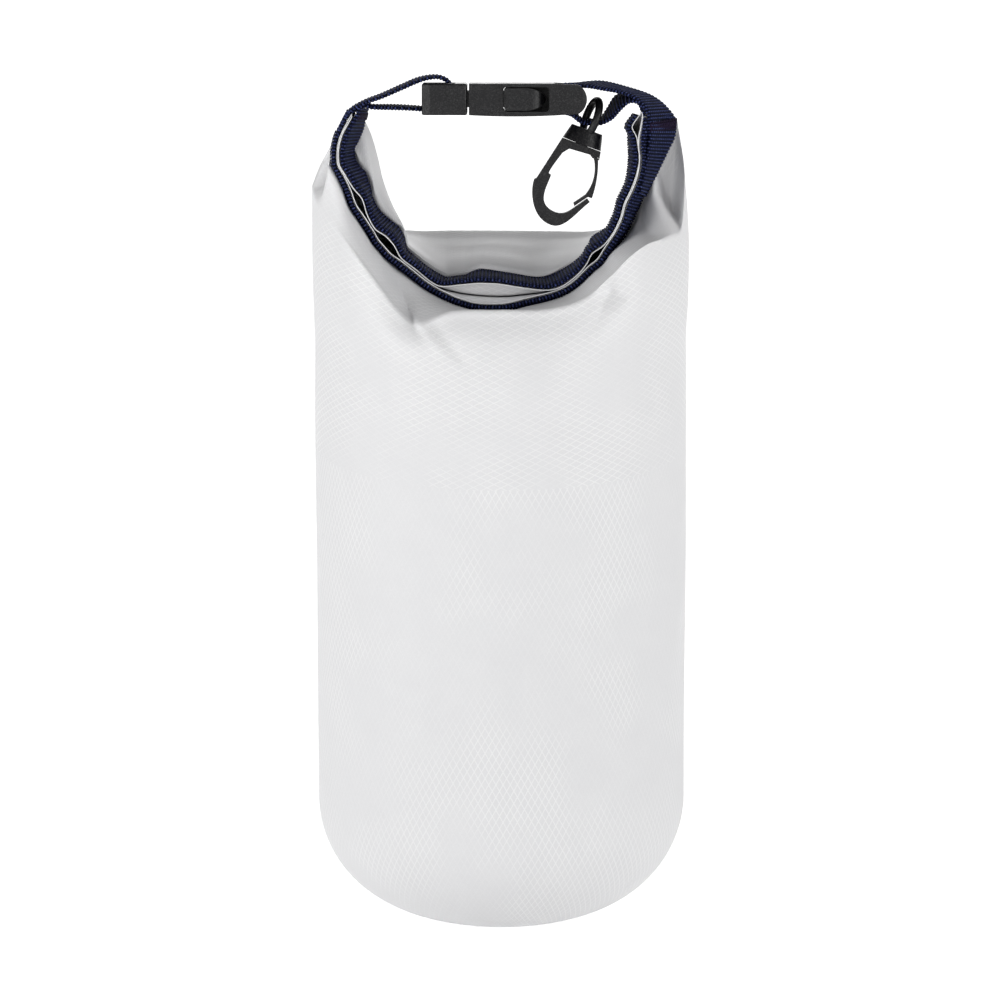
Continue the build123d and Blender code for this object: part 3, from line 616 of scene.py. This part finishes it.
def unevenness(points):
    """What a filled fabric tube shows: soft waves, and the creases of its folded collar."""
    x, y, z = points[..., 0], points[..., 1], points[..., 2]
    a = np.arctan2(y, x)
    r = np.maximum(np.hypot(x, y), 1)
    share = ease(z, 8, 60) * (1 - ease(z, 196, 214))
    wave = 0.22 * np.sin(3 * a + z / 40) + 0.14 * np.sin(5 * a - z / 27 + 1)
    wave += 0.08 * np.sin(9 * a + z / 15) - 0.30
    out = points.copy()
    for axis in (0, 1):
        out[..., axis] += points[..., axis] / r * wave * share
    out[..., 1] += crease(points, (-37, 234), (-26, 212), 2.8, -2.6)
    out[..., 2] += crease(points, (-37, 234), (-27, 214), 2.8, 2.6)
    out[..., 1] += crease(points, (-29, 220), (-14, 203), 1.7, 1.3)
    out[..., 1] += crease(points, (-23, 218), (-10, 203), 2.6, -1.1)
    out[..., 1] += dimple(points, (36.5, -49.5, 226), 4.0, 3.0)
    out[..., 1] += crease(points, (38, 232), (30, 214), 2.6, -1.2)
    out[..., 1] += dimple(points, (-1, -44, 10), 5.0, 0.8)
    return out


# the hem and the last rows before it keep to the webbing
hem_row = len(rows) - len(HEM_DEPTHS)
kept = ease(np.arange(len(rows)), hem_row - 34, hem_row - 14)      # 0 uneven, 1 as drawn
shaped = unevenness(rows)
rows = shaped + (rows - shaped) * kept[:, None, None]

step = np.linalg.norm(np.diff(rows, axis=0), axis=-1)
along = np.concatenate([np.zeros((1, COLUMNS)), np.cumsum(step, 0)])
COLUMN_WIDTH = 2 * pi * RADIUS / COLUMNS
across = np.broadcast_to(np.arange(COLUMNS) * COLUMN_WIDTH, along.shape)


def panel(name, first, last, mat, node):
    """One cut piece of the fabric, between two rows."""
    cut = slice(first, last + 1)
    ob = cloth(name, rows[cut], across[cut], along[cut], FABRIC, mat)
    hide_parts(node)


panel("base_fabric", 0, seam_row, body_fabric, "base_disc")
panel("body_fabric", seam_row, ring_row, body_fabric, "body_panel")
panel("collar_fabric", ring_row, len(rows) - 1, collar_fabric, "collar_panel")


# --- sealing tapes inside the tube -----------------------------------------------------------
SEALING_GAP = 0.5               # between an upright seam's tape and a ring seam's
COLLAR_TAPE = 22.0              # how far up from the ring seam the collar's upright tape goes
FRONT_SEAM_X = 7.6              # how far left of the middle the collar's upright seam runs


def inside(part, distance):
    """Rows of points moved towards the bag's inside, square to the sheet."""
    down = np.gradient(part, axis=0)
    sideways = np.gradient(part, axis=1)
    normal = np.cross(down, sideways)
    normal /= np.maximum(np.linalg.norm(normal, axis=-1), 1e-9)[..., None]
    outward = part * np.array([1, 1, 0]) - np.array([0, 0, 40.0]) * (part[..., 2:] < 20)
    normal *= np.sign((normal * outward).sum(-1))[..., None]
    return part - distance * normal


def sealing(name, first, last, columns, node):
    """A thin tape behind the fabric, between two rows and over some columns."""
    part = rows[first:last + 1][:, columns]
    closed = part.shape[1] == COLUMNS
    if closed:
        wide = np.concatenate([part[:, -1:], part, part[:, :1]], 1)
        part = inside(wide, FABRIC / 2 + SEALING)[:, 1:-1]
    else:
        part = inside(part, FABRIC / 2 + SEALING)
    flat = [measure[first:last + 1][:, columns] for measure in (across, along)]
    ob = cloth(name, part, *flat, SEALING, seam_film, closed)
    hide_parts(node)


def rows_between(low, high):
    """First and last row for two lengths along the fabric from the base's middle."""
    middle = along[:, 0]
    return int(np.searchsorted(middle, low)), int(np.searchsorted(middle, high))


def columns_near(middle):
    """The columns that an upright seam's tape covers."""
    half = int(round(UPRIGHT_TAPE / 2 / COLUMN_WIDTH))
    return np.arange(middle - half, middle + half + 1)


whole = np.arange(COLUMNS)
half_tape = SEAM_TAPE / 2
seam, ring_run = along[seam_row, 0], along[ring_row, 0]
wall_start = along[len(rings) - WALL_ROWS, 0]
back_seam = HALF_COLUMNS + HALF_COLUMNS // 2
front_seam = HALF_COLUMNS // 2 - int(round(FRONT_SEAM_X / COLUMN_WIDTH))
base_run = rows_between(seam - half_tape, seam + half_tape)
collar_run = rows_between(ring_run - half_tape, ring_run + half_tape)
sealing("base_sealing", *base_run, whole, "base_seam_tape")
sealing("ring_sealing", *collar_run, whole, "collar_seam_tape")
run = rows_between(wall_start, ring_run - half_tape - SEALING_GAP)
sealing("body_sealing", *run, columns_near(back_seam), "body_upright_tape")
run = rows_between(ring_run + half_tape + SEALING_GAP, ring_run + COLLAR_TAPE)
sealing("collar_sealing", *run, columns_near(front_seam), "collar_upright_tape")


# --- webbing -------------------------------------------------------------------------------
RIB_STEPS, BAND_POINTS = 7, 15  # points along one rib, and across one face of a band


def woven(name, front, back, slot, node, thick=WEBBING, mat=navy, relief=RELIEF):
    """A woven band between its two edge lines, (n, 3) points each, in millimetres."""
    middle = (front + back) / 2
    run = np.concatenate([[0], np.cumsum(np.linalg.norm(np.diff(middle, axis=0), axis=-1))])
    steps = np.arange(0, run[-1], RIB / RIB_STEPS)
    front = np.stack([np.interp(steps, run, front[:, k]) for k in range(3)], -1)
    back = np.stack([np.interp(steps, run, back[:, k]) for k in range(3)], -1)
    middle, wide = (front + back) / 2, front - back
    width = np.linalg.norm(wide, axis=-1)
    way = wide / width[:, None]
    tangent = np.gradient(middle, axis=0)
    normal = np.cross(way, tangent)
    normal /= np.linalg.norm(normal, axis=-1)[:, None]
    w = np.linspace(-1, 1, BAND_POINTS)
    crown = (1 - np.abs(w) ** 8) ** 0.5       # flat across, and rounded off at both edges
    ring = []
    for side in (1, -1):
        for k in range(BAND_POINTS)[::side]:
            rib = 0.5 + 0.5 * np.sin(2 * pi * steps / RIB)
            height = side * (thick / 2 * (0.30 + 0.70 * crown[k]) + relief * (rib - 0.5))
            reach = width / 2 * w[k]
            if k in (0, BAND_POINTS - 1):
                reach = reach + np.sign(w[k]) * 1.2 * relief * (rib - 0.4)
            ring.append(middle + way * reach[:, None] + normal * height[:, None])
    ring = np.stack(ring, 1)
    n, c = ring.shape[:2]
    caps = [list(range(c))[::-1], list(range((n - 1) * c, n * c))]
    ob = link_mesh(name, ring, grid_faces(n, c, True) + caps, mat)
    me = ob.data
    uv = me.uv_layers.new(name="sheet")
    loops = np.empty(len(me.loops), np.int64)
    me.loops.foreach_get("vertex_index", loops)
    column = np.concatenate([w, w[::-1]])
    u = column[loops % c] * width[loops // c] / 2
    uv.data.foreach_set("uv", np.stack([u, steps[loops // c]], -1).reshape(-1).astype(np.float32))
    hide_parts(node)


def mouth_band(layer, start, end, away, depths=(0.0, 2 * HALF_WEB), count=500):
    """Front and back edge lines of a band along the mouth, between two of its angles."""
    degrees = np.linspace(start, end, count)
    return [beside(degrees, layer, np.full(count, depth), away) for depth in depths]


on_layer = FABRIC / 2 + WEBBING / 2 + 0.25
outer_band = mouth_band(1, 167.6, 368.6, on_layer + 0.1)
inner_band = mouth_band(-1, 165.4, 371.0, on_layer)
strip = mouth_band(1, 172, 366, FABRIC / 2 + 0.2, depths=(2.0, 18.0), count=300)
woven("mouth_web_outer", *outer_band, "webbing", "mouth_tape_outer")
woven("mouth_web_inner", *inner_band, "webbing", "mouth_tape_inner")
woven("mouth_spring_strip", *strip, "stiffener", "mouth_stiffener",
      thick=STRIP, mat=spring_strip, relief=0.0)


def band_path(points, count=360):
    """Edge lines through rows of (front across, front up, back across, back up, half width)."""
    table = np.array(points, float)
    shares = np.linspace(0, 1, len(table))
    half_width = np.interp(np.linspace(0, 1, count), shares, table[:, 4])[:, None]
    edges = []
    for column, sign in ((0, 1), (2, -1)):
        knots = [np.array([[*row[column:column + 2], 0.0]]) for row in table]
        flat = spline(knots, count)[:, 0]
        in_plane = U_CENTRE + flat[:, :1] * ALONG_X + flat[:, 1:2] * UPWARDS
        edges.append(in_plane + sign * half_width * TOWARDS)
    return edges


# The two strap loops, from outside the mouth's end, round the buckle's bar and back.
LEFT_LOOP = [
    (-50.9, 2.2, -50.9, 1.8, 9.6), (-49.6, 6.4, -49.4, 6.0, 9.8), (-47.0, 10.2, -47.4, 10.2, 10),
    (-42.2, 12.9, -42.6, 13.3, 10), (-36.6, 14.9, -37, 15.5, 10), (-30, 17.7, -30.3, 18.5, 9.8),
    (-24.5, 20.1, -24.8, 20.8, 9.6), (-20.6, 21.3, -20.6, 21.6, 9.6),
    (-17.2, 21.4, -17.2, 21.4, 9.6), (-14.5, 19.9, -14.5, 19.9, 9.6),
    (-13.3, 17.0, -13.3, 17.0, 9.6), (-13.4, 13.2, -13.4, 13.2, 9.6),
    (-15.2, 10.6, -15.2, 10.6, 9.6), (-18.4, 9.9, -18.4, 9.9, 9.6),
    (-22.4, 10.7, -22.4, 11.0, 9.6), (-27.3, 11.1, -27.3, 11.5, 9.8), (-34, 11.3, -34, 11.8, 10),
    (-39.4, 11.5, -39.2, 11.8, 10), (-43, 12.0, -42.8, 12.1, 9.9),
    (-45.8, 10.8, -45.4, 10.9, 9.6), (-47.2, 7.4, -46.8, 7.6, 9.2),
]
RIGHT_LOOP = [
    (48.9, -17.0, 51.0, -18.5, 9.6), (50.4, -9.0, 55.2, -10.6, 9.6), (51.6, -2.6, 58.6, -3.6, 9.4),
    (52.0, 3.0, 61.0, 1.6, 9.0), (51.8, 7.6, 61.4, 6.8, 8.8), (50.4, 11.2, 58.6, 11.0, 8.9),
    (46.8, 14.8, 54, 14.6, 9.2), (41.5, 16.8, 45.6, 17.6, 9.7),
    (36.4, 17.6, 37.6, 19.6, 9.8), (31.8, 18.4, 32.2, 19.4, 9.8), (28.4, 18.6, 28.4, 18.6, 9.6),
    (24.2, 18.9, 24.2, 18.9, 9.6), (21.7, 16.6, 21.7, 16.6, 9.6), (21.6, 12.8, 21.6, 12.8, 9.6),
    (23.4, 10.2, 23.4, 10.2, 9.4), (26.6, 9.0, 27.0, 9.5, 8.0), (29.6, 6.6, 30, 7.4, 5.0),
    (33, 5.9, 33.2, 7.2, 3.9), (36.2, 6.1, 36.4, 7.9, 4.2), (39.6, 7.6, 38.6, 11.0, 6.5),
    (42.4, 10.6, 41.4, 15.2, 8.4), (45.6, 13.3, 45.4, 16.2, 9.2), (48.6, 12.8, 49.4, 13.8, 9.6),
    (50, 8.6, 51.4, 8.8, 9.6), (50, 3.6, 52.4, 3.6, 9.6),
]
woven("strap_left", *band_path(LEFT_LOOP), "webbing", "male_loop_strap", STRAP)
woven("strap_right", *band_path(RIGHT_LOOP), "webbing", "female_loop_strap", STRAP)


# --- stitching -------------------------------------------------------------------------------
ROUND = 6                       # sides of a thread
# A thread's rings: share of its length, share of its radius.
THREAD = ((0.0, 0.35), (0.12, 0.9), (0.5, 1.1), (0.88, 0.9), (1.0, 0.35))
TACK_THREAD, SEAM_THREAD = 0.36, 0.17         # radii
ZIGZAGS, LENGTHWAYS = 26, 9     # threads of a bartack: the zigzag, and in each line over it
TACK_LINES = (0.08, 0.5, 0.92)  # where those lines run between the bartack's two sides
SEAM_FRONT, SEAM_BACK = 2.6, 17.4             # depths of the two seams behind the lip
STITCH = 0.72                   # a stitch's share of its step


def stitches(name, starts, ends, radius, mat, node=None):
    """Short rounded threads, one from each start to its end."""
    points, faces = [], []
    for a, b in zip(starts, ends):
        way = b - a
        length = np.linalg.norm(way)
        way = way / length
        side = np.cross(way, TOWARDS + 0.3 * ALONG_X)
        side /= np.linalg.norm(side)
        top = np.cross(way, side)
        base = len(points)
        for share, size in THREAD:
            for k in range(ROUND):
                turn = 2 * pi * k / ROUND
                rim = (side * cos(turn) + top * sin(turn)) * radius * size
                points.append(a + way * length * share + rim)
        for ring in range(len(THREAD) - 1):
            low, high = base + ring * ROUND, base + (ring + 1) * ROUND
            for k in range(ROUND):
                after = (k + 1) % ROUND
                faces.append([low + k, low + after, high + after, high + k])
        far_end = base + (len(THREAD) - 1) * ROUND
        faces.append([base + k for k in reversed(range(ROUND))])
        faces.append([far_end + k for k in range(ROUND)])
    ob = link_mesh(name, np.array(points), faces, mat)
    ob.data.uv_layers.new(name="sheet")
    if node:
        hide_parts(node)


def bartack(name, start, end, layer, away, node):
    """Dense zigzag across the webbing, between two angles of the mouth."""
    starts, ends = [], []
    for k in range(ZIGZAGS):
        depth = 1.2 + (2 * HALF_WEB - 2.4) * k / (ZIGZAGS - 1)
        a, b = (start, end) if k % 2 else (end, start)
        one, two = np.array([a, b]), np.array([depth, depth + 0.7])
        pair = beside(one, layer, two, away)
        starts.append(pair[0])
        ends.append(pair[1])
    for share in TACK_LINES:
        for k in range(LENGTHWAYS):
            spot = np.full(2, start + (end - start) * share)
            pair = beside(spot, layer, np.array([1.4 + 2 * k, 3.0 + 2 * k]), away + 0.1)
            starts.append(pair[0])
            ends.append(pair[1])
    stitches(name, starts, ends, TACK_THREAD, tack_thread, node)


def stitch_row(name, start, end, layer, depth, away):
    """A straight seam of short stitches along the webbing, one for each degree."""
    count = int(abs(end - start))
    starts, ends = [], []
    for k in range(count):
        low = start + (end - start) * k / count
        high = low + (end - start) / count * STITCH
        pair = beside(np.array([low, high]), layer, np.full(2, depth), away)
        starts.append(pair[0])
        ends.append(pair[1])
    stitches(name, starts, ends, SEAM_THREAD, navy)


top_of_web = FABRIC / 2 + WEBBING + 0.45
bartack("tack_right", 363.8, 367.2, 1, top_of_web + 1.0, "bartack_right")
bartack("tack_left", 167.4, 170.4, -1, top_of_web - 0.4, "bartack_left")
stitch_row("seam_outer_front", 176, 360, 1, SEAM_FRONT, top_of_web + 0.15)
stitch_row("seam_outer_back", 176, 360, 1, SEAM_BACK, top_of_web + 0.15)
stitch_row("seam_inner_front", 178, 362, -1, SEAM_FRONT, top_of_web - 0.1)
stitch_row("seam_inner_back", 178, 362, -1, SEAM_BACK, top_of_web - 0.1)

# --- plastic -------------------------------------------------------------------------------
PLASTIC_NODES = (
    "buckle_male", "buckle_female", "prong_front", "prong_rear", "swivel_eye", "hook_body",
    "hook_gate",
)
for node in PLASTIC_NODES:
    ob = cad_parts[node]
    ob.data.materials.clear()
    ob.data.materials.append(plastic)


# --- floor, light, camera; lengths in metres from here on ------------------------------------
FLOOR_WHITE, FLOOR_GLOW = 0.88, 0.8           # what the floor reflects, and adds when seen
WALLS_AS_LIGHT, WALLS_SEEN = 0.64, 1.0        # the studio's strength as light, and as seen
CEILING = 0.35                                # the ceiling's share of that
CAMERA_AWAY, CAMERA_RISE = 2.0, radians(15.5)
FIELD = 0.34                                  # width of the picture at the bag
LOOK_AT = 0.1424                              # height of the picture's middle


def plain_stage():
    """A pale floor that camera and glossy rays see as near white, and that keeps shadows."""
    m = bpy.data.materials.new("pale_floor")
    m.use_nodes = True
    nodes, links = m.node_tree.nodes, m.node_tree.links
    nodes.clear()
    out = nodes.new("ShaderNodeOutputMaterial")
    diffuse = nodes.new("ShaderNodeBsdfDiffuse")
    diffuse.inputs["Color"].default_value = (FLOOR_WHITE, FLOOR_WHITE, FLOOR_WHITE, 1)
    glow = nodes.new("ShaderNodeEmission")
    path = nodes.new("ShaderNodeLightPath")
    seen = nodes.new("ShaderNodeMath")
    seen.operation = "MAXIMUM"
    links.new(path.outputs["Is Camera Ray"], seen.inputs[0])
    links.new(path.outputs["Is Glossy Ray"], seen.inputs[1])
    power = nodes.new("ShaderNodeMath")
    power.operation = "MULTIPLY"
    power.inputs[1].default_value = FLOOR_GLOW
    links.new(seen.outputs[0], power.inputs[0])
    links.new(power.outputs[0], glow.inputs["Strength"])
    both = nodes.new("ShaderNodeAddShader")
    links.new(diffuse.outputs[0], both.inputs[0])
    links.new(glow.outputs[0], both.inputs[1])
    links.new(both.outputs[0], out.inputs[0])
    bpy.ops.mesh.primitive_plane_add(size=8, location=(0, 1.0, -0.0003))
    floor = bpy.context.object
    floor.name = "floor"
    floor.data.materials.append(m)


def area(name, size, power, place, target):
    """A soft rectangular lamp, its power in watts, turned to its target."""
    lamp = bpy.data.lights.new(name, "AREA")
    lamp.shape = "RECTANGLE"
    lamp.size, lamp.size_y = size
    lamp.energy = power
    ob = bpy.data.objects.new(name, lamp)
    bpy.context.scene.collection.objects.link(ob)
    ob.location = place
    ob.rotation_euler = (Vector(target) - Vector(place)).to_track_quat("-Z", "Y").to_euler()


plain_stage()
world = bpy.data.worlds.new("studio")
bpy.context.scene.world = world
world.use_nodes = True
wn, wl = world.node_tree.nodes, world.node_tree.links
back = wn["Background"]
back.inputs["Color"].default_value = (1, 1, 1, 1)
path = wn.new("ShaderNodeLightPath")
shine = wn.new("ShaderNodeMath")
shine.operation = "MAXIMUM"
wl.new(path.outputs["Is Camera Ray"], shine.inputs[0])
wl.new(path.outputs["Is Transmission Ray"], shine.inputs[1])
level = wn.new("ShaderNodeMapRange")
wl.new(shine.outputs[0], level.inputs["Value"])
level.inputs["To Min"].default_value = WALLS_AS_LIGHT
level.inputs["To Max"].default_value = WALLS_SEEN
where = wn.new("ShaderNodeTexCoord")
height = wn.new("ShaderNodeSeparateXYZ")
wl.new(where.outputs["Generated"], height.inputs[0])
dome = wn.new("ShaderNodeMapRange")           # the studio's ceiling is darker than its walls
wl.new(height.outputs[2], dome.inputs["Value"])
dome.inputs["From Max"].default_value = 0.8
dome.inputs["To Min"].default_value = 1.0
dome.inputs["To Max"].default_value = CEILING
strength = wn.new("ShaderNodeMath")
strength.operation = "MULTIPLY"
wl.new(level.outputs["Result"], strength.inputs[0])
wl.new(dome.outputs["Result"], strength.inputs[1])
wl.new(strength.outputs[0], back.inputs["Strength"])

area("left", (1.6, 1.2), 22.0, (-1.75, -0.95, 0.42), (0, 0, 0.14))
area("right", (1.6, 1.2), 20.5, (1.75, -0.95, 0.42), (0, 0, 0.14))
area("front", (1.2, 1.0), 7.6, (-0.3, -2.2, 0.40), (0, 0, 0.10))
area("rear", (1.6, 1.2), 11.0, (0.2, 2.4, 0.4), (0, 0, 0.14))

scene = bpy.context.scene
cam = bpy.data.cameras.new("camera")
cam.sensor_width = 36
cam.lens = cam.sensor_width * CAMERA_AWAY / FIELD
cam.shift_x = -0.001
cam.clip_end = 20
camera = bpy.data.objects.new("camera", cam)
scene.collection.objects.link(camera)
target = Vector((0, 0, LOOK_AT))
away = Vector((0, -cos(CAMERA_RISE), sin(CAMERA_RISE)))
camera.location = target + CAMERA_AWAY * away
camera.rotation_euler = (-away).to_track_quat("-Z", "Y").to_euler()
scene.camera = camera
scene.view_settings.view_transform = "Standard"
